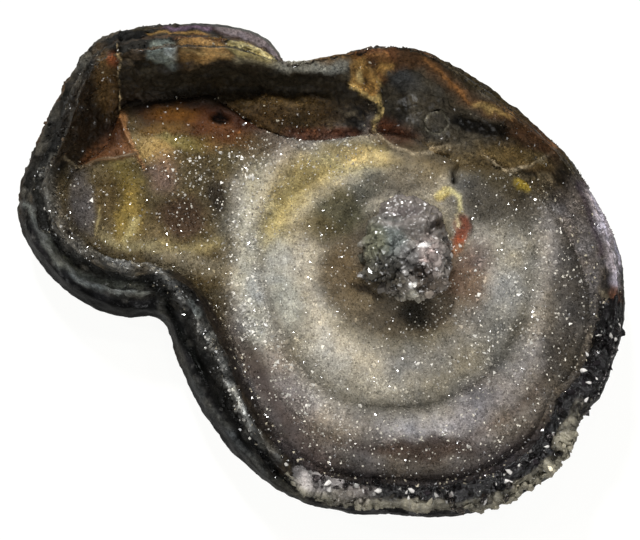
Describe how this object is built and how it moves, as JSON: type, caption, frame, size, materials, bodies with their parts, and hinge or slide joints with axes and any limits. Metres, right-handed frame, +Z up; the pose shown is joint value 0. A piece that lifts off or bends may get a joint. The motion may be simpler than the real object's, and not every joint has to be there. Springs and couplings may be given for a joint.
{
  "type": "druzy chalcedony specimen",
  "caption": "Low two-lobed shell of dark chalcedony, open on top, its dish lined with rippled fine quartz crystals round a raised crystal knob, with clear points along part of the rim.",
  "frame": {"origin": "middle of the bounding box, at the height of the flat spot underneath", "axes": "+X along the long way, from the small lobe to the main lobe; +Y towards the high broken wall; +Z up out of the dish"},
  "size_m": [0.0602, 0.05, 0.0176],
  "materials": {
    "chalcedony": "waxy satin",
    "druse": "sparkling fine crystals",
    "knob_quartz": "glossy crystal faces",
    "clear_quartz": "clear, glossy crystal faces"
  },
  "bodies": {
    "root": {"chalcedony_body": "chalcedony", "druzy_crust": "druse", "crystal_knob": "knob_quartz", "rim_crystals": "clear_quartz"}
  },
  "joints": []
}
